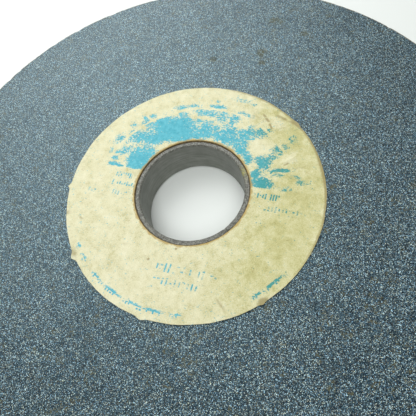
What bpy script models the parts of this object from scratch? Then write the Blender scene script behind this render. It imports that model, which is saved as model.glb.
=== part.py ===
"""Straight grinding wheel, 7 x 1/2 x 1-1/4 in, with a bushed bore and a paper blotter on each face.

The wheel lies flat: its spin axis is +Z and the origin is its centre, half way through its
thickness on the axis of the bore. +Z leaves the printed front face, and the print's lines of
text run along +X. Every piece is turned round Z, so each one is an outline with a Screw.
"""

import bpy

INCH = 0.0254

# Driving dimensions, in metres.
WHEEL_DIAMETER = 7 * INCH
WHEEL_THICKNESS = 0.5 * INCH
BORE_DIAMETER = 1.25 * INCH
BLOTTER_DIAMETER = 0.0778
BLOTTER_HOLE_DIAMETER = 0.0354
BLOTTER_THICKNESS = 0.00026

# The abrasive's corners are trued square, then just broken.
RIM_CHAMFER = 0.0003
HOLE_CHAMFER = 0.0002

# The bush is cemented into the larger hole that the abrasive was pressed with.
BUSH_WALL = 0.0015
BUSH_BORE_CHAMFER = 0.00035
BUSH_OUTER_CHAMFER = 0.00015
BUSH_RECESS = 0.00005
CEMENT_WALL = 0.00025
CEMENT_RECESS = 0.00015

# The paste under a blotter stops short of both of its edges.
PASTE_THICKNESS = 0.00006
PASTE_INSET = 0.0005

# Neighbouring pieces keep this much room, so that no two solids share material.
GAP = 0.00004

FACETS = 96

# Radii and heights that follow from the driving dimensions.
WHEEL_RADIUS = WHEEL_DIAMETER / 2
BORE_RADIUS = BORE_DIAMETER / 2
BUSH_RADIUS = BORE_RADIUS + BUSH_WALL
CEMENT_INNER_RADIUS = BUSH_RADIUS + GAP
CEMENT_OUTER_RADIUS = CEMENT_INNER_RADIUS + CEMENT_WALL
HOLE_RADIUS = CEMENT_OUTER_RADIUS + GAP
BLOTTER_RADIUS = BLOTTER_DIAMETER / 2
BLOTTER_HOLE_RADIUS = BLOTTER_HOLE_DIAMETER / 2
FACE_Z = WHEEL_THICKNESS / 2
PASTE_Z = FACE_Z + GAP + PASTE_THICKNESS / 2
BLOTTER_Z = FACE_Z + GAP + PASTE_THICKNESS + GAP + BLOTTER_THICKNESS / 2


def clear_scene():
    for obj in list(bpy.data.objects):
        bpy.data.objects.remove(obj, do_unlink=True)


def make_collection(name):
    collection = bpy.data.collections.new(name)
    bpy.context.scene.collection.children.link(collection)
    return collection


def make_material(name, colour, roughness):
    material = bpy.data.materials.new(name)
    material.use_nodes = True
    shader = material.node_tree.nodes["Principled BSDF"]
    shader.inputs["Base Color"].default_value = (*colour, 1.0)
    shader.inputs["Roughness"].default_value = roughness
    shader.inputs["Metallic"].default_value = 0.0
    material.diffuse_color = (*colour, 1.0)
    return material


def turned(name, outline, material, collection, centre=None, z=0.0):
    """One piece turned round Z: outline is a closed loop of (radius, height), down its outer side first."""
    mesh = bpy.data.meshes.new(name)
    points = [(radius, 0.0, height) for radius, height in outline]
    edges = [(i, (i + 1) % len(points)) for i in range(len(points))]
    mesh.from_pydata(points, edges, [])
    mesh.materials.append(material)

    piece = bpy.data.objects.new(name, mesh)
    piece.location = (0.0, 0.0, z)
    piece.parent = centre
    collection.objects.link(piece)

    screw = piece.modifiers.new("Turn", "SCREW")
    screw.axis = "Z"
    screw.steps = FACETS
    screw.render_steps = FACETS
    screw.use_merge_vertices = True
    screw.merge_threshold = 0.00001
    screw.use_smooth_shade = False
    return piece


def ring_outline(inner, outer, height, inner_chamfer=0.0, outer_chamfer=0.0):
    """A ring centred on z = 0, with 45 degree chamfers on its bore and on its outside."""
    top = height / 2

    def side(radius, chamfer, into):
        """The two corners on this radius, top first, each cut back by the chamfer."""
        if not chamfer:
            return [(radius, top), (radius, -top)]
        return [
            (radius + into * chamfer, top),
            (radius, top - chamfer),
            (radius, -top + chamfer),
            (radius + into * chamfer, -top),
        ]

    down_outside = side(outer, outer_chamfer, -1)
    up_inside = reversed(side(inner, inner_chamfer, 1))
    return [*down_outside, *up_inside]


def abrasive_body(material, collection, centre):
    """The fired abrasive itself: a square-sided disc with a plain hole for the bush."""
    outline = ring_outline(HOLE_RADIUS, WHEEL_RADIUS, WHEEL_THICKNESS, HOLE_CHAMFER, RIM_CHAMFER)
    return turned("abrasive_body", outline, material, collection, centre)


def bore_bush(material, collection, centre):
    """The bush that reduces the pressed hole to the spindle size, just below both faces."""
    length = WHEEL_THICKNESS - 2 * BUSH_RECESS
    outline = ring_outline(BORE_RADIUS, BUSH_RADIUS, length, BUSH_BORE_CHAMFER, BUSH_OUTER_CHAMFER)
    return turned("bore_bush", outline, material, collection, centre)


def bush_cement(material, collection, centre):
    """The ring of cement that fills the joint between the bush and the abrasive."""
    length = WHEEL_THICKNESS - 2 * CEMENT_RECESS
    outline = ring_outline(CEMENT_INNER_RADIUS, CEMENT_OUTER_RADIUS, length)
    return turned("bush_cement", outline, material, collection, centre)


def paste_film(name, side, material, collection, centre):
    """The film of paste that holds a blotter to the abrasive; side is 1 in front and -1 at the rear."""
    inner = HOLE_RADIUS + HOLE_CHAMFER + PASTE_INSET
    outline = ring_outline(inner, BLOTTER_RADIUS - PASTE_INSET, PASTE_THICKNESS)
    return turned(name, outline, material, collection, centre, side * PASTE_Z)


def blotter(name, side, material, collection, centre):
    """A paper disc that the grinder's flange clamps on; side is 1 in front and -1 at the rear."""
    outline = ring_outline(BLOTTER_HOLE_RADIUS, BLOTTER_RADIUS, BLOTTER_THICKNESS)
    return turned(name, outline, material, collection, centre, side * BLOTTER_Z)


def main():
    clear_scene()
    parts = make_collection("grinding_wheel")
    centre = bpy.data.objects.new("wheel_centre", None)
    parts.objects.link(centre)

    abrasive = make_material("vitrified_abrasive", (0.140, 0.190, 0.215), 0.9)
    bush = make_material("bush_grey", (0.150, 0.160, 0.140), 0.6)
    cement = make_material("cement_brown", (0.060, 0.045, 0.026), 0.9)
    paste = make_material("dried_paste", (0.420, 0.340, 0.160), 0.7)
    printed_paper = make_material("printed_blotter_paper", (0.720, 0.690, 0.430), 0.85)
    plain_paper = make_material("plain_blotter_paper", (0.690, 0.660, 0.420), 0.85)

    abrasive_body(abrasive, parts, centre)
    bore_bush(bush, parts, centre)
    bush_cement(cement, parts, centre)
    paste_film("front_paste_film", 1, paste, parts, centre)
    paste_film("rear_paste_film", -1, paste, parts, centre)
    blotter("front_blotter", 1, printed_paper, parts, centre)
    blotter("rear_blotter", -1, plain_paper, parts, centre)


main()
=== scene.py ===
"""A used 7 in grinding wheel lying on a pale table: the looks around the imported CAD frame.

Lengths are in metres unless a name ends in _MM or the comment over a table says mm. The wheel's
axis is +Z and its centre is the origin, so a place on either face is given as x and y, and round it
as a radius and an angle.
"""

import math

import bpy
import numpy as np
from mathutils import Matrix, Vector, noise


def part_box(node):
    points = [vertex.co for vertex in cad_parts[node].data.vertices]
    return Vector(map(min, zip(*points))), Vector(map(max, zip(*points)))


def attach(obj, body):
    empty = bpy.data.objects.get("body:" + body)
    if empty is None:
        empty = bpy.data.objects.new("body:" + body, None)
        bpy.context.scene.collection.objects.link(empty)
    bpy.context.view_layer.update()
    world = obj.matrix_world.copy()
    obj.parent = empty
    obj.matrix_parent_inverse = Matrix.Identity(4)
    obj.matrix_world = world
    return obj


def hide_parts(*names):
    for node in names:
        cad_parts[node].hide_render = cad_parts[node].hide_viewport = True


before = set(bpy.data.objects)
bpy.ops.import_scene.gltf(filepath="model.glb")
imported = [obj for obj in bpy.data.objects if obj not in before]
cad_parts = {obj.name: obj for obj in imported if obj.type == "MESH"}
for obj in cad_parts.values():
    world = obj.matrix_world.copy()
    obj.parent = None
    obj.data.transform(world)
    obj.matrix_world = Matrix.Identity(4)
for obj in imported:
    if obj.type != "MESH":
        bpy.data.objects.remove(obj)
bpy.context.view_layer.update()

MM = 0.001
TURN = 2 * math.pi

# The picture's viewpoint, aimed at a point on the front blotter.
CAMERA_AIM = (0.00645, -0.00493)
CAMERA_DISTANCE = 0.11007
CAMERA_AZIMUTH = 30.8
CAMERA_ELEVATION = 63.9
CAMERA_ROLL = 18.46
CAMERA_LENS_MM = 32.93
CAMERA_SENSOR_MM = 36

# Soft round lamps: azimuth and elevation in degrees, distance and diameter in metres, and watts.
LAMPS = {
    "front": (26, 68, 0.80, 0.60, 3.85),
    "high": (235, 84, 0.30, 0.24, 0.06),
    "back": (205, 58, 0.28, 0.20, 0.12),
    "left": (265, 58, 0.28, 0.20, 0.05),
    "sheen": (209, 37, 0.45, 0.45, 1.02),
    "wide": (251, 41, 0.45, 0.38, 0.50),
}
ROOM_COLOUR = (1.0, 1.0, 0.97, 1.0)
ROOM_STRENGTH = 0.16
TABLE_SIZE = 3.0


# ---------------------------------------------------------------- the frame's sizes

def node_radii(node):
    """The least and greatest radius of a CAD node, whose rings all turn round Z."""
    flat = np.array([vertex.co[:2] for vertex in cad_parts[node].data.vertices])
    radii = np.hypot(flat[:, 0], flat[:, 1])
    return float(radii.min()), float(radii.max())


def node_heights(node):
    """The bottom and top of a CAD node."""
    low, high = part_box(node)
    return low.z, high.z


# ---------------------------------------------------------------- meshes of rings

def divided(outline):
    """Points round a closed outline; each corner has a radius, a height and the step of the side after it."""
    points = []
    for corner, following in zip(outline, outline[1:] + outline[:1]):
        radius, height, spacing = corner
        next_radius, next_height, _ = following
        steps = max(1, round(math.dist(corner[:2], following[:2]) / spacing))
        for step in range(steps):
            share = step / steps
            points.append((
                radius + (next_radius - radius) * share,
                height + (next_height - height) * share,
                spacing,
            ))
    return points


def strip(first, first_count, second, second_count):
    """Triangles between two closed rings of vertices, whatever their counts.

    The rings' vertices are numbered from first and from second.
    """
    ends = [(np.arange(count) + 1) / count for count in (first_count, second_count)]
    order = np.argsort(np.concatenate(ends), kind="stable")
    on_first = order < first_count
    a = np.cumsum(on_first) - on_first
    b = np.cumsum(~on_first) - ~on_first
    step_a = first + (a + 1) % first_count
    step_b = second + (b + 1) % second_count
    return np.column_stack([
        first + a % first_count,
        second + b % second_count,
        np.where(on_first, step_a, step_b),
    ])


class Turned:
    """A solid turned round Z, as rings with just enough vertices to keep its triangles even."""

    FEWEST_IN_RING = 24

    def __init__(self, outline):
        radii, heights, steps = (np.array(column) for column in zip(*divided(outline)))
        counts = np.maximum(self.FEWEST_IN_RING, np.round(TURN * radii / steps)).astype(int)
        firsts = np.concatenate([[0], np.cumsum(counts)[:-1]])
        ring = np.repeat(np.arange(len(counts)), counts)
        place = np.concatenate([np.arange(count) / count for count in counts])

        before, after = np.roll(radii, 1), np.roll(radii, -1)
        below, above = np.roll(heights, 1), np.roll(heights, -1)
        out = np.column_stack([below - above, after - before])
        out /= np.linalg.norm(out, axis=1)[:, None]

        self.angle = TURN * place
        self.step = steps[ring]
        self.radius = radii[ring]
        self.height = heights[ring]
        self.out_radius, self.out_height = out[ring].T
        rings = list(zip(firsts, counts))
        self.triangles = np.concatenate([
            strip(*one, *other) for one, other in zip(rings, rings[1:] + rings[:1])
        ])

    def scatter(self, random, share):
        """Moves each vertex along its ring by up to a share of a step, so that no spokes show."""
        self.angle = self.angle + random.uniform(-share, share, len(self.angle)) * self.step / self.radius

    def push(self, depth):
        """Moves the surface out by a depth for each vertex."""
        self.radius = self.radius + self.out_radius * depth
        self.height = self.height + self.out_height * depth

    def points(self):
        x = self.radius * np.cos(self.angle)
        y = self.radius * np.sin(self.angle)
        return np.column_stack([x, y, self.height])


def mesh_object(name, points, triangles, material, marks=None, sharp_degrees=None):
    """An object with these triangles; marks are numbers for each vertex that its material reads by name."""
    mesh = bpy.data.meshes.new(name)
    mesh.from_pydata(points.tolist(), [], triangles.tolist())
    for mark, values in (marks or {}).items():
        attribute = mesh.attributes.new(mark, "FLOAT", "POINT")
        attribute.data.foreach_set("value", np.asarray(values, np.float32))
    mesh.materials.append(material)
    mesh.shade_smooth()
    if sharp_degrees:
        mesh.set_sharp_from_angle(angle=math.radians(sharp_degrees))
    mesh.update()
    piece = bpy.data.objects.new(name, mesh)
    bpy.context.scene.collection.objects.link(piece)
    return piece


# ---------------------------------------------------------------- fields over a face

def smooth_noise(points, size, seed):
    """Noise from about -1 to 1 at each point, with features of this size."""
    shift = Vector((seed * 17.3, seed * 5.1, seed * 9.7))
    return np.array([noise.noise(Vector(point) / size + shift) for point in points])


def step_up(low, high, values):
    """0 below low and 1 above high, with a smooth rise between; low may be the greater of the two."""
    share = np.clip((values - low) / (high - low), 0, 1)
    return share * share * (3 - 2 * share)


def patch(x, y, centre, half_size, lean=0.0, firmness=1):
    """1 in the middle of an oval patch, 0.5 at its edge, falling to 0; sizes in mm, lean in degrees."""
    turn = math.radians(lean)
    across, up = x / MM - centre[0], y / MM - centre[1]
    along = (across * math.cos(turn) + up * math.sin(turn)) / half_size[0]
    aside = (up * math.cos(turn) - across * math.sin(turn)) / half_size[1]
    return np.exp(-math.log(2) * (along**2 + aside**2) ** firmness)


def near_line(x, y, start, end, width):
    """1 on a straight line between two points, falling to 0 about a width away; all in mm."""
    start, end = np.array(start), np.array(end)
    run = end - start
    from_start = np.column_stack([x, y]) / MM - start
    share = np.clip(from_start @ run / (run @ run), 0, 1)
    away = np.linalg.norm(from_start - share[:, None] * run, axis=1)
    ends = np.minimum(share, 1 - share) * 4
    return np.exp(-((away / width) ** 2)) * np.clip(ends, 0, 1)


# ---------------------------------------------------------------- materials as formulas

class Value:
    """A number, colour or vector inside a material, so that a pattern can be written as a formula."""

    def __init__(self, socket):
        self.socket = socket
        self.tree = socket.id_data

    def math(self, operation, *others, first=None):
        node = self.tree.nodes.new("ShaderNodeMath")
        node.operation = operation
        for slot, value in zip(node.inputs, (self if first is None else first, *others)):
            plug(slot, value)
        return Value(node.outputs[0])

    def __add__(self, other):
        return self.math("ADD", other)

    def __sub__(self, other):
        return self.math("SUBTRACT", other)

    def __rsub__(self, other):
        return self.math("SUBTRACT", self, first=other)

    def __mul__(self, other):
        return self.math("MULTIPLY", other)

    def __truediv__(self, other):
        return self.math("DIVIDE", other)

    def most(self, other):
        return self.math("MAXIMUM", other)

    def size(self):
        return self.math("ABSOLUTE")

    def rise(self, low, high, out_low=0.0, out_high=1.0):
        """out_low below low and out_high above high, with a smooth rise between."""
        node = self.tree.nodes.new("ShaderNodeMapRange")
        node.interpolation_type = "SMOOTHSTEP"
        if low > high:
            low, high, out_low, out_high = high, low, out_high, out_low
        for name, value in (
            ("Value", self), ("From Min", low), ("From Max", high),
            ("To Min", out_low), ("To Max", out_high),
        ):
            plug(node.inputs[name], value)
        return Value(node.outputs["Result"])


def plug(slot, value):
    """Sets a socket, or links it where the value is part of a formula."""
    if isinstance(value, Value):
        slot.id_data.links.new(value.socket, slot)
    elif hasattr(slot.default_value, "__len__") and len(slot.default_value) == 4:
        slot.default_value = (*value, 1.0)
    else:
        slot.default_value = value


class Pattern:
    """A new Principled material and the patterns that its formulas are made of."""

    def __init__(self, name):
        self.material = bpy.data.materials.new(name)
        self.material.use_nodes = True
        self.tree = self.material.node_tree
        self.shader = self.tree.nodes["Principled BSDF"]
        self.place = Value(self.node("ShaderNodeTexCoord").outputs["Object"])

    def node(self, kind):
        return self.tree.nodes.new(kind)

    def xyz(self):
        node = self.node("ShaderNodeSeparateXYZ")
        plug(node.inputs[0], self.place)
        return [Value(output) for output in node.outputs]

    def mark(self, name):
        """A number that the mesh holds for each vertex."""
        node = self.node("ShaderNodeAttribute")
        node.attribute_name = name
        return Value(node.outputs["Fac"])

    def clouds(self, size, detail=2.0, seed=0, rough=0.5, place=None):
        """Noise from about 0 to 1, with features of this size."""
        node = self.node("ShaderNodeTexNoise")
        node.noise_dimensions = "4D"
        plug(node.inputs["Vector"], place or self.place)
        node.inputs["W"].default_value = seed
        node.inputs["Scale"].default_value = 1 / size
        node.inputs["Detail"].default_value = detail
        node.inputs["Roughness"].default_value = rough
        return Value(node.outputs["Fac"])

    def ragged_mark(self, name, noise, reach):
        """A mark whose edges are broken up by noise."""
        return self.mark(name) + (noise - 0.5) * reach

    def grains(self, size):
        """Three chance numbers for each grain, and the distance to its middle in grains."""
        node = self.node("ShaderNodeTexVoronoi")
        plug(node.inputs["Vector"], self.place)
        node.inputs["Scale"].default_value = 1 / size
        return self.split(Value(node.outputs["Color"])), Value(node.outputs["Distance"])

    def chances(self, number, seed):
        """Three chance numbers that stay the same for the same whole number."""
        node = self.node("ShaderNodeTexWhiteNoise")
        node.noise_dimensions = "4D"
        place = self.node("ShaderNodeCombineXYZ")
        plug(place.inputs["X"], number)
        plug(node.inputs["Vector"], Value(place.outputs[0]))
        node.inputs["W"].default_value = seed
        return self.split(Value(node.outputs["Color"]))

    def split(self, colour):
        node = self.node("ShaderNodeSeparateColor")
        plug(node.inputs[0], colour)
        return [Value(output) for output in node.outputs]

    def ramp(self, value, stops):
        """A colour for a number from 0 to 1: stops are (place, colour) pairs."""
        node = self.node("ShaderNodeValToRGB")
        plug(node.inputs["Fac"], value)
        elements = node.color_ramp.elements
        while len(elements) < len(stops):
            elements.new(0.5)
        for element, (position, colour) in zip(elements, stops):
            element.position = position
            element.color = (*colour, 1.0)
        return Value(node.outputs["Color"])

    def mix(self, share, one, other, blend="MIX"):
        """The colour one where share is 0, and other where it is 1."""
        node = self.node("ShaderNodeMix")
        node.data_type = "RGBA"
        node.blend_type = blend
        sockets = {socket.identifier: socket for socket in (*node.inputs, *node.outputs)}
        plug(sockets["Factor_Float"], share)
        plug(sockets["A_Color"], one)
        plug(sockets["B_Color"], other)
        return Value(sockets["Result_Color"])

    def stretched(self, scale):
        """The place, scaled along each axis."""
        node = self.node("ShaderNodeVectorMath")
        node.operation = "MULTIPLY"
        plug(node.inputs[0], self.place)
        node.inputs[1].default_value = scale
        return Value(node.outputs[0])

    def finish(self, colour, roughness, relief, depth, specular=0.5):
        """Joins up the shader: relief is a height from 0 to 1, and depth what 1 stands for in metres."""
        plug(self.shader.inputs["Base Color"], colour)
        plug(self.shader.inputs["Roughness"], roughness)
        self.shader.inputs["Specular IOR Level"].default_value = specular
        bump = self.node("ShaderNodeBump")
        bump.inputs["Distance"].default_value = depth
        plug(bump.inputs["Height"], relief)
        plug(self.shader.inputs["Normal"], Value(bump.outputs["Normal"]))
        return self.material


def abrasive_material():
    """Blue-grey grains in a glassy bond: pale and dark grains, the palest of them painted glints, pores,
    brown stains and worn edges.
    """
    pattern = Pattern("vitrified_abrasive")
    coarse, coarse_middle = pattern.grains(0.14 * MM)
    fine, fine_middle = pattern.grains(0.10 * MM)
    drift = (pattern.clouds(14 * MM, 3.0, seed=2) - 0.5) * 0.08
    colour = pattern.ramp(coarse[0] + drift, [
        (0.22, (0.000, 0.002, 0.007)),
        (0.50, (0.005, 0.017, 0.031)),
        (0.73, (0.036, 0.068, 0.094)),
        (0.88, (0.145, 0.235, 0.290)),
        # The last stop is painted glints: near-white grains that stand for sparkle off the grain faces.
        (0.98, (0.640, 0.820, 0.880)),
    ])
    warmth = pattern.ramp(coarse[1] * 0.5 + fine[1] * 0.5, [
        (0.25, (0.72, 1.00, 1.24)),
        (0.75, (1.26, 1.05, 0.72)),
    ])
    colour = pattern.mix(1.0, colour, warmth, blend="MULTIPLY")
    tan = fine[1].rise(0.95, 0.97) * 0.7
    colour = pattern.mix(tan, colour, (0.330, 0.250, 0.140))

    stain_noise = pattern.clouds(1.2 * MM, 4.0, seed=3, rough=0.6)
    stain = pattern.ragged_mark("stain", stain_noise, 1.6).rise(0.35, 0.80)
    colour = pattern.mix(stain * fine[0].rise(0.15, 0.65) * 0.85, colour, (0.080, 0.064, 0.012))
    wear_noise = pattern.clouds(1.2 * MM, 3.0, seed=22)
    wear = pattern.ragged_mark("wear", wear_noise, 0.9).rise(0.2, 0.9)
    colour = pattern.mix(wear * 0.8, colour, (0.240, 0.200, 0.105))
    specks, _ = pattern.grains(1.9 * MM)
    crumbs = pattern.clouds(0.7 * MM, 3.0, seed=23, rough=0.7).rise(0.50, 0.60)
    dirt = specks[0].rise(0.87, 0.90) * crumbs
    colour = pattern.mix(dirt * 0.75, colour, (0.095, 0.078, 0.020))

    roughness = coarse[2].rise(0.0, 1.0, 0.22, 0.42) + stain.most(wear) * 0.4
    coarse_relief = (1 - coarse_middle) * coarse[2].rise(0.0, 1.0, 0.3, 1.0)
    relief = coarse_relief + (1 - fine_middle) * 0.35
    pattern.shader.inputs["IOR"].default_value = 1.72
    pattern.shader.inputs["Specular Tint"].default_value = (0.62, 0.91, 1.0, 1.0)
    return pattern.finish(colour, roughness, relief, 0.045 * MM)


def paper_material(name, printed):
    """Cream blotting paper with fibres, grime and painted shade; the printed one has a worn block of light
    blue ink.
    """
    pattern = Pattern(name)
    x, y, _ = pattern.xyz()
    radius = (x * x + y * y).math("SQRT")

    blotches = pattern.clouds(2.8 * MM, 5.0, seed=4, rough=0.65)
    fibres = pattern.clouds(0.32 * MM, 3.0, seed=5, rough=0.75)
    colour = pattern.ramp(blotches * 0.5 + fibres * 0.5, [
        (0.34, (0.430, 0.405, 0.195)),
        (0.48, (0.640, 0.622, 0.405)),
        (0.64, (0.740, 0.728, 0.540)),
    ])
    if printed:
        colour = pattern.mix(ink_cover(pattern, x, y, radius), colour, ink_colour(pattern))

    aged = pattern.mark("aged") * ((blotches * 0.6 + fibres * 0.4 - 0.5) * -2.9 + 1)
    colour = pattern.mix(aged.rise(0.0, 1.0), colour, (0.800, 0.800, 0.600), blend="MULTIPLY")
    # Grime and painted shade in one brown: dirt, and the shade beside the folds and along one edge.
    grime_and_shade_noise = pattern.clouds(1.2 * MM, 5.0, seed=6, rough=0.65)
    grime = pattern.ragged_mark("grime", grime_and_shade_noise, 1.1).rise(0.20, 1.0)
    colour = pattern.mix(grime * 0.75, colour, (0.260, 0.210, 0.085))
    specks, _ = pattern.grains(2.3 * MM)
    flecks = (pattern.clouds(0.30 * MM, seed=7) * specks[0].rise(0.75, 0.95)).rise(0.56, 0.68)
    colour = pattern.mix(flecks * 0.4, colour, (0.330, 0.240, 0.100))

    # Paste from under the paper has soaked in round the hole.
    ragged_radius = radius + (pattern.clouds(1.2 * MM, 4.0, seed=8) - 0.5) * 1.8 * MM
    soaked = ragged_radius.rise(18.3 * MM, 17.8 * MM)
    colour = pattern.mix(soaked * 0.75, colour, (0.400, 0.270, 0.075))
    relief = fibres * 0.7 + pattern.clouds(0.12 * MM, 1.0, seed=9) * 0.3
    return pattern.finish(colour, 0.85, relief, 0.05 * MM, specular=0.25)


def ink_colour(pattern):
    """Light blue ink, a little darker and greener where the paper is aged."""
    fresh = pattern.ramp(pattern.clouds(0.9 * MM, 4.0, seed=10, rough=0.7), [
        (0.35, (0.070, 0.355, 0.440)),
        (0.62, (0.135, 0.470, 0.550)),
    ])
    old = pattern.mark("aged").rise(0.10, 0.60) * 0.6
    return pattern.mix(old, fresh, (0.050, 0.290, 0.330))


def ink_cover(pattern, x, y, radius):
    """How much ink is left: the block, eaten away by noise, and what is left of the small print."""
    rub = (pattern.clouds(2.0 * MM, 5.0, seed=11, rough=0.7) - 0.5) * 1.2
    squeezed = pattern.stretched((0.7, 1.2, 1))
    pick = (pattern.clouds(0.45 * MM, 3.0, seed=12, rough=0.75, place=squeezed) - 0.5) * 3.3
    worn = rub + pick
    cover = (pattern.mark("ink") + worn).rise(0.40, 0.60)
    for *row, left in PRINT_ROWS:
        cover = cover.most(print_row(pattern, x, y, *row) * (worn + left).rise(0.36, 0.64))
    cover = cover * (1 - print_row(pattern, x, y, *KNOCKED_OUT_ROW) * 0.85)

    # The row along the rim: a line of strokes with a thin bar under it.
    arc = y.math("ARCTAN2", x) * RIM_PRINT_MM * MM + RIM_ARC_START
    out = radius - RIM_PRINT_MM * MM
    bar = (out + 0.4 * MM).size().rise(0.45 * MM, 0.32 * MM)
    rim = strokes(pattern, arc, out, RIM_ARC_LENGTH, 1.5 * MM, 0.9 * MM).most(bar)
    return cover.most(rim * (pattern.mark("rim_print") + worn).rise(0.42, 0.58))


def print_row(pattern, x, y, start, end, middle, height, pitch):
    """A straight row of marks, with its place and sizes in mm."""
    length = (end - start) * MM
    return strokes(pattern, x - start * MM, y - middle * MM, length, height * MM, pitch * MM)


def strokes(pattern, along, across, length, height, pitch):
    """A row of marks that aren't letters, each 0 or 1: a leaning stroke, a short dash or a gap."""
    soft_edge = 0.1 * MM
    cell = (along / pitch).math("FLOOR")
    lean, kind, tall = pattern.chances(cell, length / height)
    middle = along - (cell + 0.5) * pitch
    slant = middle - across * lean.rise(0.0, 1.0, 0.02, 0.10)
    reach = tall.rise(0.0, 1.0, 0.25, 0.5) * height
    upright = thin_line(slant) * (across.size() - reach).rise(soft_edge, 0)
    level = across - tall.rise(0.0, 1.0, -0.35, 0.35) * height
    flat = thin_line(level) * middle.size().rise(pitch * 0.40, pitch * 0.30)
    dash = kind.rise(0.62, 0.64)
    mark = upright * (1 - dash) + flat * dash
    gap = kind.rise(0.08, 0.06)
    return mark * (1 - gap) * along.rise(0, soft_edge) * along.rise(length, length - soft_edge)


def thin_line(offset):
    """1 along the middle of a printed stroke, falling to 0 at its sides."""
    return offset.size().rise(0.28 * MM, 0.18 * MM)


def bush_material():
    """Dark grey moulded bush with faint marks round its bore and a stained, scuffed rim."""
    pattern = Pattern("bush_grey")
    round_bore = pattern.stretched((0.12, 0.12, 2.2))
    rounds = pattern.clouds(0.9 * MM, 4.0, seed=13, rough=0.6, place=round_bore)
    cloudy = pattern.clouds(3 * MM, 4.0, seed=14, rough=0.6)
    colour = pattern.ramp(rounds * 0.65 + cloudy * 0.35, [
        (0.36, (0.138, 0.147, 0.124)),
        (0.50, (0.205, 0.217, 0.190)),
        (0.64, (0.285, 0.295, 0.266)),
    ])
    rim = pattern.mark("rim")
    scuffs = pattern.ramp(pattern.clouds(0.45 * MM, 4.0, seed=15, rough=0.7), [
        (0.34, (0.040, 0.040, 0.032)),
        (0.50, (0.125, 0.128, 0.108)),
        (0.66, (0.290, 0.300, 0.265)),
    ])
    colour = pattern.mix(rim, colour, scuffs)
    stain = pattern.mark("stain") * pattern.clouds(0.8 * MM, seed=16).rise(0.35, 0.6)
    colour = pattern.mix(stain, colour, (0.280, 0.270, 0.080))
    roughness = rounds.rise(0.2, 0.8, 0.38, 0.62)
    relief = rounds * 0.7 + pattern.clouds(0.25 * MM, seed=17) * 0.3
    return pattern.finish(colour, roughness, relief, 0.05 * MM)


def cement_material():
    """The dark brown joint round the bush."""
    pattern = Pattern("cement_brown")
    crumbs = pattern.clouds(0.5 * MM, 3.0, seed=18, rough=0.7)
    colour = pattern.ramp(crumbs, [
        (0.35, (0.060, 0.042, 0.020)),
        (0.70, (0.330, 0.240, 0.110)),
    ])
    return pattern.finish(colour, 0.9, crumbs, 0.08 * MM, specular=0.3)


def paste_material():
    """Dried yellow-brown paste."""
    pattern = Pattern("dried_paste")
    lumps = pattern.clouds(0.8 * MM, 4.0, seed=19, rough=0.65)
    colour = pattern.ramp(lumps, [
        (0.35, (0.160, 0.110, 0.045)),
        (0.65, (0.420, 0.330, 0.150)),
    ])
    return pattern.finish(colour, 0.6, lumps, 0.06 * MM)


def floor_material():
    """Pale, slightly uneven table top."""
    pattern = Pattern("pale_table")
    colour = pattern.ramp(pattern.clouds(0.12, seed=20), [
        (0.3, (0.725, 0.765, 0.737)),
        (0.7, (0.750, 0.785, 0.760)),
    ])
    dimples = pattern.clouds(1.5 * MM, seed=21)
    return pattern.finish(colour, 0.45, dimples, 0.01 * MM, specular=0.3)
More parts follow.
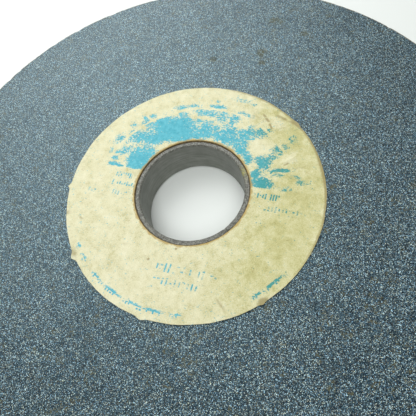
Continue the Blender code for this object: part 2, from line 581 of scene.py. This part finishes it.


# ---------------------------------------------------------------- pieces

# What is left of the printed block on the front face, in mm: middle, half size, lean in
# degrees and how much ink is left, where 1 is solid and 0.5 is half worn away.
INK_BLOCK = (
    ((-11.5, 20.6), (8.2, 4.0), 8, 1.00),
    ((-10.0, 23.4), (4.2, 2.2), 12, 0.92),
    ((-15.6, 22.6), (5.2, 1.9), 22, 0.86),
    ((-13.6, 17.4), (7.4, 2.2), 14, 0.92),
    ((-17.6, 14.4), (5.0, 2.4), 0, 0.80),
    ((-8.6, 17.9), (5.6, 2.2), 18, 0.95),
    ((-3.0, 19.4), (5.4, 1.8), 0, 0.80),
    ((-0.8, 21.6), (6.8, 2.8), 0, 0.74),
    ((-3.0, 24.6), (4.2, 1.6), 0, 0.58),
    ((6.8, 21.0), (3.4, 4.6), 0, 0.77),
    ((-21.0, 15.6), (5.0, 2.8), 15, 0.76),
    ((-19.4, 8.2), (4.0, 4.6), -15, 0.94),
    ((-19.8, 5.8), (3.4, 2.6), 0, 1.00),
    ((-17.0, 11.4), (3.4, 2.6), 0, 0.85),
    ((-24.6, 10.6), (2.2, 2.0), 0, 0.60),
    ((-23.8, 17.4), (2.6, 1.2), 10, 0.66),
    ((-2.6, 28.2), (4.6, 1.7), -4, 0.72),
    ((-9.8, 26.4), (2.4, 1.3), 0, 0.66),
    ((3.4, 28.6), (2.0, 1.2), -10, 0.64),
    ((7.2, 26.6), (1.8, 2.6), 0, 0.80),
    ((3.4, 27.0), (2.6, 1.7), 0, 0.62),
    ((12.6, 21.6), (5.6, 2.7), 6, 0.77),
    ((10.8, 18.8), (4.4, 2.3), -20, 0.77),
    ((5.6, 19.0), (5.0, 1.9), -8, 0.86),
    ((11.6, 16.2), (4.4, 1.5), -35, 0.84),
    ((14.4, 13.6), (1.5, 2.6), 25, 0.84),
    ((19.4, 12.8), (3.2, 3.2), 10, 0.88),
    ((22.0, 17.2), (3.4, 1.9), -8, 0.72),
    ((21.2, 14.8), (2.6, 1.8), 0, 0.74),
    ((15.8, 23.0), (3.0, 1.7), 15, 0.74),
    ((17.6, 8.4), (1.7, 1.9), 0, 0.92),
    ((20.0, 5.4), (3.6, 2.2), -5, 0.88),
    ((0.8, 31.2), (2.6, 0.9), -3, 0.80),
    ((0.3, 33.3), (0.6, 0.6), 0, 0.70),
    ((-11.4, 29.3), (2.7, 1.0), 12, 0.66),
    ((-7.0, 30.5), (2.2, 0.7), 8, 0.60),
    ((11.0, 29.0), (2.0, 0.9), -20, 0.64),
    ((8.4, 29.6), (1.2, 0.6), 0, 0.60),
    ((8.2, 34.6), (2.4, 0.8), -10, 0.52),
    ((12.4, 33.4), (1.0, 0.5), 0, 0.52),
    ((-20.6, 21.4), (2.4, 1.1), 20, 0.66),
    ((-22.0, 23.0), (1.6, 0.9), -30, 0.60),
    ((-19.8, 24.6), (1.8, 0.9), 0, 0.64),
    ((-25.2, 20.0), (1.4, 1.3), 0, 0.48),
    ((-28.4, 14.2), (2.6, 1.5), 45, 0.60),
    ((-29.8, 9.6), (0.7, 1.2), 0, 0.55),
    ((-26.6, 9.2), (2.0, 1.0), 0, 0.64),
    ((-27.4, 6.8), (1.8, 0.9), 0, 0.66),
    ((-26.8, 4.6), (3.2, 0.9), -6, 0.86),
    ((25.0, 10.8), (3.1, 0.7), 8, 0.86),
    ((21.8, 10.3), (2.0, 0.6), 0, 0.66),
    ((23.6, 9.2), (2.2, 0.7), 0, 0.60),
    ((13.0, 24.6), (1.4, 1.0), 0, 0.62),
    ((18.6, 24.2), (1.3, 0.8), 0, 0.74),
    ((24.6, 19.0), (1.4, 1.2), 0, 0.54),
    ((26.8, 22.4), (1.7, 1.3), 40, 0.52),
    ((30.6, 7.6), (1.7, 0.9), 0, 0.60),
    ((29.4, 9.2), (1.2, 0.7), 0, 0.56),
    ((27.6, 4.9), (2.6, 0.7), 0, 0.52),
    ((33.0, 7.8), (1.0, 0.7), 0, 0.50),
)
# Where the block is rubbed off again, in the same order.
BALD_PATCHES = (
    ((17.6, 17.5), (2.5, 2.2), -20, 1.1),
    ((10.2, 25.4), (2.0, 1.8), 0, 0.5),
    ((-3.2, 26.2), (3.0, 0.6), 0, 0.5),
    ((2.0, 18.4), (4.0, 0.4), -6, 0.3),
    ((-12.0, 13.2), (2.4, 0.9), 20, 0.8),
    ((-16.0, 13.0), (5.0, 0.9), 4, 0.3),
    ((16.4, 10.8), (1.0, 1.2), 0, 0.8),
    ((24.0, 13.4), (3.0, 1.2), 30, 0.7),
)
# The block's straight lower edge, and the unprinted ring through it.
BLOCK_FOOT_MM = 4.0
UNPRINTED_RING_MM = (29.75, 30.35)

# Rows of small print, all as marks that aren't letters, in mm: start and end across, the row's middle,
# its height, the pitch of its marks, and how much of it is left.
PRINT_ROWS = (
    (-25.2, -19.6, 1.4, 1.8, 0.75, 0.66),
    (-25.6, -17.9, -1.5, 1.8, 0.80, 0.70),
    (-24.4, -19.4, -4.8, 1.6, 0.90, 0.50),
    (-32.6, -29.6, -5.2, 1.4, 1.00, 0.48),
    (19.4, 26.4, 1.6, 1.9, 0.75, 0.80),
    (22.0, 33.0, -2.0, 1.7, 1.00, 0.56),
    (-3.8, 13.8, -24.5, 2.5, 1.20, 0.66),
    (-3.6, 9.4, -28.3, 2.2, 1.20, 0.58),
)
# A row left unprinted in the block, in the same order.
KNOCKED_OUT_ROW = (-21.5, -8.0, 13.9, 1.3, 0.95)
# The row along the rim: its radius, where it starts and how long it may be in metres, and what is left
# of it, as for the block.
RIM_PRINT_MM = 36.7
RIM_ARC_START = 0.2
RIM_ARC_LENGTH = 0.4
RIM_PRINT = (
    ((-28.2, -23.6), (0.8, 0.8), 0, 0.75),
    ((-25.4, -26.8), (1.9, 0.9), -45, 0.66),
    ((-19.4, -31.4), (2.8, 0.9), -32, 0.80),
    ((-13.6, -34.2), (2.8, 0.9), -20, 1.00),
    ((-6.5, -36.4), (3.4, 0.9), -10, 1.05),
    ((-1.0, -36.9), (3.4, 0.9), 0, 0.95),
    ((5.8, -36.5), (1.7, 0.8), 10, 0.76),
    ((25.4, -26.6), (2.0, 0.9), 48, 0.90),
    ((28.8, -22.6), (3.0, 0.9), 52, 0.95),
)

# Yellowing, grime and painted shade on the front blotter: middle and half size in mm, lean in degrees,
# strength.
AGED = (
    ((31.0, 6.0), (14.0, 26.0), 0, 0.75),
    ((22.0, -22.0), (18.0, 12.0), 45, 0.45),
    ((21.0, 27.5), (10.0, 5.0), -38, 0.55),
    ((20.8, 27.2), (2.4, 1.7), -35, -1.00),
    ((17.6, 17.5), (2.5, 2.2), -20, -0.40),
    ((26.6, 15.6), (2.6, 1.0), 40, -0.40),
)
# The patches at (36.8, 14.0), (24.0, 28.6), (30.0, 12.6) and (16.8, -31.4) are painted shade, along the edge
# away from the lamps and beside the folds; the rest are grime.
GRIME_AND_SHADE = (
    ((36.8, 14.0), (1.4, 7.0), 15, 0.75),
    ((24.0, 28.6), (4.0, 0.7), -28, 0.40),
    ((16.8, -31.4), (3.2, 1.6), -35, 0.34),
    ((26.7, -27.7), (1.3, 0.9), 45, 1.10),
    ((-28.6, -25.8), (1.4, 0.8), -45, 0.70),
    ((-30.8, -15.0), (1.0, 0.4), -25, 0.80),
    ((-35.4, -14.0), (1.4, 0.9), 0, 0.50),
    ((-14.0, -20.2), (1.8, 0.6), 10, 0.40),
    ((0.6, -18.7), (0.3, 0.3), 0, 1.60),
    ((-6.3, -23.2), (0.4, 0.35), 0, 1.20),
    ((30.0, 12.6), (3.6, 0.5), 20, 0.55),
    ((14.0, 29.0), (6.0, 2.4), -30, 0.40),
    ((2.0, 36.5), (9.0, 1.4), 0, 0.20),
)
# Painted shade: brown lines beside the folds, where the creases shade the paper: start, end, half width in mm
# and strength.
FOLD_SHADE_LINES = (
    ((17.0, 28.9), (18.4, 27.2), 0.36, 1.05),
    ((18.4, 27.2), (19.8, 24.6), 0.32, 1.00),
    ((15.8, 30.2), (17.2, 29.0), 0.40, 0.75),
    ((21.5, 25.2), (24.6, 26.4), 0.35, 0.45),
    ((19.4, 30.4), (24.0, 28.8), 0.50, 0.55),
    ((24.0, 28.8), (27.8, 27.0), 0.40, 0.60),
    ((25.0, 12.3), (27.0, 13.9), 0.28, 0.95),
    ((27.0, 13.9), (30.4, 14.7), 0.35, 0.50),
    ((19.6, 21.0), (24.0, 20.0), 0.30, 0.30),
    ((14.2, -29.2), (18.4, -32.8), 0.35, 0.40),
)
# Where the front blotter is lifted: middle and half size in mm, lean in degrees, height in mm.
BLISTERS = (
    ((20.8, 27.4), (2.5, 1.7), -35, 0.32),
    ((26.4, 28.2), (1.6, 0.9), -45, 0.14),
    ((-33.6, -16.6), (2.4, 1.3), -55, 0.10),
    ((18.2, -31.2), (2.2, 1.4), -35, 0.12),
)

# Folds in the front blotter: start, end, height and half width, in mm.
CREASES = (
    ((24.4, 12.9), (28.9, 16.6), 0.24, 0.50),
    ((20.3, 10.3), (27.6, 11.6), -0.10, 0.35),
    ((26.5, 13.2), (32.5, 14.6), 0.07, 0.45),
    ((15.6, 30.8), (17.6, 27.0), 0.16, 0.45),
    ((17.6, 27.2), (19.8, 24.2), 0.18, 0.45),
    ((19.0, 31.2), (27.8, 27.4), 0.14, 0.45),
    ((14.4, -29.6), (19.8, -33.9), -0.14, 0.55),
    ((-33.4, -13.9), (-30.2, -15.6), 0.12, 0.40),
    ((33.0, -6.0), (37.2, -7.2), 0.06, 0.35),
    ((24.0, -15.0), (31.0, -9.0), 0.04, 0.40),
)

# The way that the front blotter's dirtiest edge faces, in degrees: that edge is darkened by grime and by
# painted shade, on the side away from the lamps.
DIRTY_SHADED_EDGE_DEGREES = 28

# The pitted part of the bush's front rim, and a stain on it: middle and half size in mm, lean in degrees.
BUSH_PITS = ((12.6, -10.4), (3.6, 1.6), -50)
BUSH_STAIN = ((14.1, 8.6), (1.6, 0.8), -60)

# Scraps of paper that stick out past the front blotter's cut edge: angle in degrees, length and
# half width in mm.
SCRAPS = (
    (188.0, 0.75, 0.7),
    (223.5, 1.00, 1.1),
    (265.0, 0.55, 1.2),
    (46.0, 0.35, 1.0),
    (313.5, 0.40, 0.7),
)

# Brown stains on the abrasive's front face: middle and half size in mm, lean in degrees, strength.
ABRASIVE_STAINS = (
    ((23.6, 67.0), (1.5, 1.5), 0, 1.0),
    ((11.6, 52.0), (1.5, 1.1), 0, 1.0),
    ((10.4, 56.5), (1.9, 2.0), 0, 0.9),
    ((4.2, 58.0), (1.7, 1.1), 0, 0.7),
    ((12.5, 72.5), (3.6, 1.9), 0, 0.8),
    ((26.0, 38.0), (2.4, 1.0), -35, 0.7),
    ((-6.0, 52.0), (1.6, 1.3), 0, 0.9),
    ((15.0, 39.5), (1.6, 0.8), -25, 0.7),
    ((28.2, -28.6), (1.5, 0.9), 45, 0.9),
    ((40.2, 8.0), (1.0, 2.4), 10, 0.7),
)


def sum_of(patches, x, y):
    """All of some soft patches together."""
    return sum(strength * patch(x, y, middle, size, lean) for middle, size, lean, strength in patches)


def most_of(patches, x, y):
    """The strongest of some patches with firm edges."""
    return np.max([
        strength * patch(x, y, middle, size, lean, firmness=1.6)
        for middle, size, lean, strength in patches
    ], axis=0)


def scattered(random, count, reach, half_sizes, strengths):
    """Oval patches at chance places up to a reach from the middle, in mm."""
    return [
        (
            random.uniform(-reach, reach, 2),
            random.uniform(*half_sizes, 2),
            random.uniform(0, 180),
            random.uniform(*strengths),
        )
        for _ in range(count)
    ]


def ink_left(x, y):
    """How much ink is left of the printed block, from 0 to a little over 1."""
    soft_edge = 0.2
    radius = np.hypot(x, y) / MM
    cover = most_of(INK_BLOCK, x, y) * 1.08
    bald = sum_of(BALD_PATCHES, x, y)
    inner, outer = UNPRINTED_RING_MM
    printed = step_up(BLOCK_FOOT_MM - soft_edge, BLOCK_FOOT_MM + soft_edge, y / MM)
    past_inner = step_up(inner - soft_edge, inner + soft_edge, radius)
    before_outer = step_up(outer + soft_edge, outer - soft_edge, radius)
    return np.clip(cover - bald, 0, 1.2) * printed * (1 - past_inner * before_outer)


def front_grime_and_shade(x, y, outer):
    """Grime and painted shade on the front blotter: smears, brown lines of painted shade beside the folds,
    and an edge darker on one side.
    """
    grime = sum_of(GRIME_AND_SHADE, x, y)
    for start, end, width, strength in FOLD_SHADE_LINES:
        grime = grime + strength * near_line(x, y, start, end, width)
    # The edge is darkened all round by grime, and most towards one side, where the darkening is also painted
    # shade.
    edge = step_up(outer - 1.0 * MM, outer - 0.2 * MM, np.hypot(x, y))
    towards_dirt_and_shade = np.cos(np.arctan2(y, x) - math.radians(DIRTY_SHADED_EDGE_DEGREES))
    return grime + edge * (0.25 + 0.65 * step_up(0.3, 0.9, towards_dirt_and_shade))


def front_lift(x, y, points, outer):
    """How far the front blotter stands off its own flat place: waves, creases, blisters, loose edges."""
    lift = 0.020 * smooth_noise(points, 11 * MM, 1) + 0.012 * smooth_noise(points, 3 * MM, 2)
    for start, end, height, width in CREASES:
        lift = lift + height * near_line(x, y, start, end, width)
    lift = lift + sum_of(BLISTERS, x, y)
    loose = np.clip(smooth_noise(points, 9 * MM, 3) + 0.15, 0, 1)
    lift = lift + 0.16 * loose * step_up(outer - 2.0 * MM, outer, np.hypot(x, y))
    return lift * MM


def paper_sheet(name, node, material, side, lift, cut, marks):
    """A blotter as a thin sheet: lift moves it up or down, and cut roughens its two edges."""
    hole, outer = node_radii(node)
    bottom, top = node_heights(node)
    fine, coarse, edge = 0.36 * MM, 1.1 * MM, top - bottom
    upper, lower = (fine, coarse) if side > 0 else (coarse, fine)
    sheet = Turned([
        (hole, top, upper),
        (outer, top, edge),
        (outer, bottom, lower),
        (hole, bottom, edge),
    ])
    cut(sheet, hole, outer)
    flat = sheet.points()
    x, y = flat[:, 0], flat[:, 1]
    sheet.height = sheet.height + lift(x, y, flat * (1, 1, 0), outer)
    piece = mesh_object(name, sheet.points(), sheet.triangles, material, marks(x, y), sharp_degrees=50)
    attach(piece, "root")
    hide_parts(node)
    return piece


def ragged(sheet, hole, outer, scraps, seed):
    """Wears the blotter's cut edges: small nibbles all round, and scraps that stick out."""
    round_place = np.column_stack([np.cos(sheet.angle), np.sin(sheet.angle), 0 * sheet.angle]) * outer

    def roughness(size_mm, step):
        return smooth_noise(round_place, size_mm * MM, seed + step)

    nibble = 0.10 * roughness(5, 0) + 0.07 * roughness(1.1, 1)
    for degrees, length, half_width in scraps:
        away = (np.degrees(sheet.angle) - degrees + 180) % 360 - 180
        arc = np.radians(away) * outer / MM
        nibble = nibble + length * np.exp(-((arc / half_width) ** 2))
    tear = 0.05 * roughness(3.0, 2) + 0.05 * roughness(1.0, 3) + 0.10
    near_outer = step_up(outer - 1.2 * MM, outer, sheet.radius)
    near_hole = step_up(hole + 0.9 * MM, hole, sheet.radius)
    sheet.radius = sheet.radius + (nibble * near_outer - tear * near_hole) * MM


def front_label():
    """The printed blotter: worn ink, grime and painted shade, folds, blisters and scraps at its edge."""
    _, outer_edge = node_radii("front_blotter")

    def cut(sheet, hole, outer):
        ragged(sheet, hole, outer, SCRAPS, 4)

    def marks(x, y):
        return {
            "ink": ink_left(x, y),
            "rim_print": most_of(RIM_PRINT, x, y),
            "grime": front_grime_and_shade(x, y, outer_edge),
            "aged": sum_of(AGED, x, y),
        }

    material = paper_material("printed_blotter_paper", True)
    piece = paper_sheet("front_label", "front_blotter", material, 1, front_lift, cut, marks)


def rear_label():
    """The plain blotter on the hidden face, pressed nearly flat."""
    random = np.random.default_rng(7)
    scraps = [
        (random.uniform(0, 360), random.uniform(0.2, 0.6), random.uniform(0.5, 1.2))
        for _ in range(4)
    ]
    smears = scattered(random, 14, 34, (0.6, 3.5), (0.3, 0.9))

    def lift(x, y, points, outer):
        return np.clip(0.015 + 0.03 * smooth_noise(points, 6 * MM, 9), 0, 0.03) * MM

    def cut(sheet, hole, outer):
        ragged(sheet, hole, outer, scraps, 10)

    def marks(x, y):
        return {"grime": sum_of(smears, x, y)}

    material = paper_material("plain_blotter_paper", False)
    piece = paper_sheet("rear_label", "rear_blotter", material, -1, lift, cut, marks)


def chip_arrises(body, rim, face, random):
    """Breaks small chips out of the two outer corners of the abrasive."""
    deepest, corner = 0.55 * MM, 0.25 * MM
    chips = np.zeros(len(body.angle))
    front = body.height > 0
    for _ in range(110):
        middle = random.uniform(0, TURN)
        half_width = random.uniform(0.4, 1.8) * MM
        depth = random.uniform(0.05, 1.0) ** 2 * deepest
        on_front = random.random() < 0.5
        arc = ((body.angle - middle + math.pi) % TURN - math.pi) * rim
        bite = depth * np.clip(1 - (arc / half_width) ** 2, 0, 1)
        chips = np.maximum(chips, np.where(front == on_front, bite, 0))
    chips = chips + random.uniform(0, 0.10, len(chips)) * MM
    over = np.clip(body.radius + abs(body.height) - (rim + face - corner - chips), 0, None)
    body.radius = body.radius - over / 2
    body.height = body.height - np.sign(body.height) * over / 2


def roughen(body, random):
    """Pits the abrasive's surface grain by grain, and never pushes it out."""
    places = body.points()
    grit = random.uniform(-1, 0, len(places)) * 0.05 + 0.02 * smooth_noise(places, 4 * MM, 14)
    pores = (random.random(len(places)) < 0.04) * random.uniform(0.05, 0.16, len(places))
    body.push(np.clip(grit - pores, -0.25, 0) * MM)


def abrasive():
    """The abrasive, with its surface roughened grain by grain and its corners chipped."""
    random = np.random.default_rng(3)
    hole, rim = node_radii("abrasive_body")
    _, face = node_heights("abrasive_body")
    bevel, worn = 0.2 * MM, 1.6 * MM
    plain, fine, rear = 0.78 * MM, 0.42 * MM, 1.1 * MM
    body = Turned([
        (hole + bevel, face, plain),
        (rim - worn, face, fine),
        (rim - bevel, face, fine),
        (rim, face - bevel, fine),
        (rim, face - worn, plain),
        (rim, worn - face, fine),
        (rim, bevel - face, fine),
        (rim - bevel, -face, fine),
        (rim - worn, -face, rear),
        (hole + bevel, -face, fine),
        (hole, bevel - face, rear),
        (hole, face - bevel, fine),
    ])
    body.scatter(random, 0.3)
    chip_arrises(body, rim, face, random)
    roughen(body, random)

    places = body.points()
    x, y = places[:, 0], places[:, 1]
    on_front = body.height > face / 2
    spots = scattered(random, 60, 86, (0.5, 1.6), (0.4, 1.0))
    to_corner = np.maximum(rim - body.radius, face - abs(body.height))
    marks = {
        "stain": sum_of(ABRASIVE_STAINS, x, y) * on_front + sum_of(spots, x, y) * ~on_front,
        "wear": step_up(0.8 * MM, 0.2 * MM, to_corner),
    }
    piece = mesh_object("abrasive_surface", places, body.triangles, abrasive_material(), marks)
    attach(piece, "root")
    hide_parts("abrasive_body")


def bush():
    """The bush: rounded corners, marks left round its bore, and nicks and pits in its front rim."""
    random = np.random.default_rng(5)
    bore, outer = node_radii("bore_bush")
    _, top = node_heights("bore_bush")
    lead, corner = 0.35 * MM, 0.15 * MM
    fine, lead_step, bore_step = 0.22 * MM, 0.18 * MM, 0.35 * MM
    rear_step, hidden = 0.3 * MM, 1.5 * MM
    ring = Turned([
        (bore + lead, top, fine),
        (outer - corner, top, fine),
        (outer, top - corner, hidden),
        (outer, corner - top, fine),
        (outer - corner, -top, rear_step),
        (bore + lead, -top, fine),
        (bore, lead - top, bore_step),
        (bore, top - lead, lead_step),
    ])
    ring.scatter(random, 0.25)

    places = ring.points()
    x, y = places[:, 0], places[:, 1]
    squeezed = places * (0.15, 0.15, 2.5)
    rim = step_up(top - 0.6 * MM, top - 0.2 * MM, ring.height)
    pitted = patch(x, y, *BUSH_PITS)
    depth = 0.014 * smooth_noise(squeezed, 1.1 * MM, 21)
    depth = depth - rim * 0.02 * random.random(len(places))
    depth = depth - rim * pitted * 0.30 * np.clip(smooth_noise(places, 0.8 * MM, 22) + 0.2, 0, 1)
    depth = depth - rim * 0.16 * np.clip(smooth_noise(places, 1.6 * MM, 23) - 0.25, 0, 1)
    ring.push(np.clip(depth, -0.3, 0.01) * MM)

    marks = {"rim": rim, "stain": patch(x, y, *BUSH_STAIN) * rim}
    piece = mesh_object("bush", ring.points(), ring.triangles, bush_material(), marks, sharp_degrees=35)
    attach(piece, "root")
    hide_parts("bore_bush")


def cement():
    """The crumbly line of cement between the bush and the abrasive."""
    random = np.random.default_rng(11)
    inner, outer = node_radii("bush_cement")
    _, top = node_heights("bush_cement")
    across, wall, raised = 0.125 * MM, 1.2 * MM, 0.25
    ring = Turned([
        (inner, top, across),
        (outer, top, wall),
        (outer, -top, across),
        (inner, -top, wall),
    ])
    on_top = abs(ring.height) > top * 0.99
    crumbs = smooth_noise(ring.points(), 0.5 * MM, 31) * 0.06
    crumbs = crumbs + random.uniform(-0.02, 0.02, len(ring.angle))
    ring.height = ring.height + np.sign(ring.height) * on_top * (crumbs + raised) * MM
    piece = mesh_object("cement_line", ring.points(), ring.triangles, cement_material(), sharp_degrees=50)
    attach(piece, "root")
    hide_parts("bush_cement")


def paste():
    """The two films of paste stay as they are in the frame, and get the look of dried paste."""
    material = paste_material()
    for node in ("front_paste_film", "rear_paste_film"):
        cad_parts[node].data.materials.clear()
        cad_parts[node].data.materials.append(material)


# ---------------------------------------------------------------- table, light and camera

def table_top(low):
    """The table that the wheel lies on."""
    bpy.ops.mesh.primitive_plane_add(size=TABLE_SIZE, location=(0, 0, low))
    floor = bpy.context.object
    floor.name = "table_top"
    floor.data.materials.append(floor_material())


def direction(azimuth, elevation):
    """A unit vector towards a place seen from the wheel; azimuth 0 is -Y and 90 is +X, in degrees."""
    a, e = math.radians(azimuth), math.radians(elevation)
    return Vector((math.sin(a) * math.cos(e), -math.cos(a) * math.cos(e), math.sin(e)))


def soft_light(name, azimuth, elevation, distance, size, watts):
    """A round soft lamp that faces the wheel's centre."""
    lamp = bpy.data.lights.new(name, "AREA")
    lamp.shape = "DISK"
    lamp.size = size
    lamp.energy = watts
    light = bpy.data.objects.new(name, lamp)
    back = direction(azimuth, elevation)
    light.location = back * distance
    light.rotation_euler = back.to_track_quat("Z", "Y").to_euler()
    bpy.context.scene.collection.objects.link(light)
    return light


def studio():
    """Soft lamps in a faintly lit room; the front lamp adds no gloss."""
    world = bpy.data.worlds.new("studio")
    bpy.context.scene.world = world
    world.use_nodes = True
    background = world.node_tree.nodes["Background"]
    background.inputs["Color"].default_value = ROOM_COLOUR
    background.inputs["Strength"].default_value = ROOM_STRENGTH
    lights = {name: soft_light(name, *lamp) for name, lamp in LAMPS.items()}
    lights["front"].visible_glossy = False
    bpy.context.scene.view_settings.view_transform = "Standard"
    bpy.context.scene.view_settings.look = "None"


def camera(top):
    """The picture's viewpoint: aimed at a place at this height, then rolled about the line of sight."""
    lens = bpy.data.cameras.new("camera")
    lens.lens = CAMERA_LENS_MM
    lens.sensor_width = CAMERA_SENSOR_MM
    lens.clip_start = 5 * MM
    view = bpy.data.objects.new("camera", lens)
    azimuth = math.radians(CAMERA_AZIMUTH)
    back = direction(CAMERA_AZIMUTH, CAMERA_ELEVATION)
    level = Vector((math.cos(azimuth), math.sin(azimuth), 0))
    rise = back.cross(level)
    roll = math.radians(CAMERA_ROLL)
    right = level * math.cos(roll) - rise * math.sin(roll)
    up = level * math.sin(roll) + rise * math.cos(roll)
    place = Vector((*CAMERA_AIM, top)) + back * CAMERA_DISTANCE
    turned = Matrix((right, up, back)).transposed().to_4x4()
    view.matrix_world = Matrix.Translation(place) @ turned
    bpy.context.scene.collection.objects.link(view)
    bpy.context.scene.camera = view


bottom, _ = node_heights("rear_blotter")
_, top = node_heights("front_blotter")

abrasive()
bush()
cement()
front_label()
rear_label()
paste()
table_top(bottom)
studio()
camera(top)
